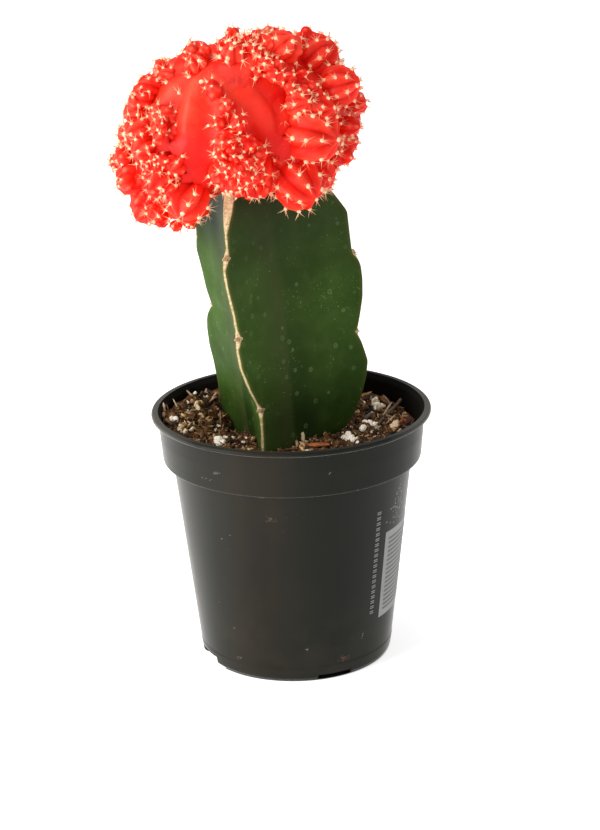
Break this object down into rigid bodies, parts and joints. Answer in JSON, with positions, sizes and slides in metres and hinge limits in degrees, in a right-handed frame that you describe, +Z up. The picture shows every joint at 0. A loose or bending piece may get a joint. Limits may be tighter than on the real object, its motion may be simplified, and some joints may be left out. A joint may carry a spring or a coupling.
{
  "type": "potted moon cactus",
  "caption": "Grafted moon cactus: a red, spiny, clustered head on a three-winged green stem, standing in potting mix in a thin black nursery pot.",
  "frame": {"origin": "on the pot's axis, at the middle of the flat base that it stands on", "axes": "+Z up along the pot's axis; -Y towards the viewer of the picture, where the stem's front rib and the head's bare ribs show; +X to that viewer's right"},
  "size_m": [0.0963, 0.085, 0.1941],
  "materials": {
    "pot_plastic": "satin",
    "potting_mix": "matte",
    "bark": "matte",
    "twig_wood": "matte",
    "stem_skin": "satin",
    "red_flesh": "satin"
  },
  "bodies": {
    "root": {"pot": "pot_plastic", "soil": "potting_mix", "bark_chip": "bark", "twig": "twig_wood", "rootstock": "stem_skin", "scion": "red_flesh"}
  },
  "joints": []
}
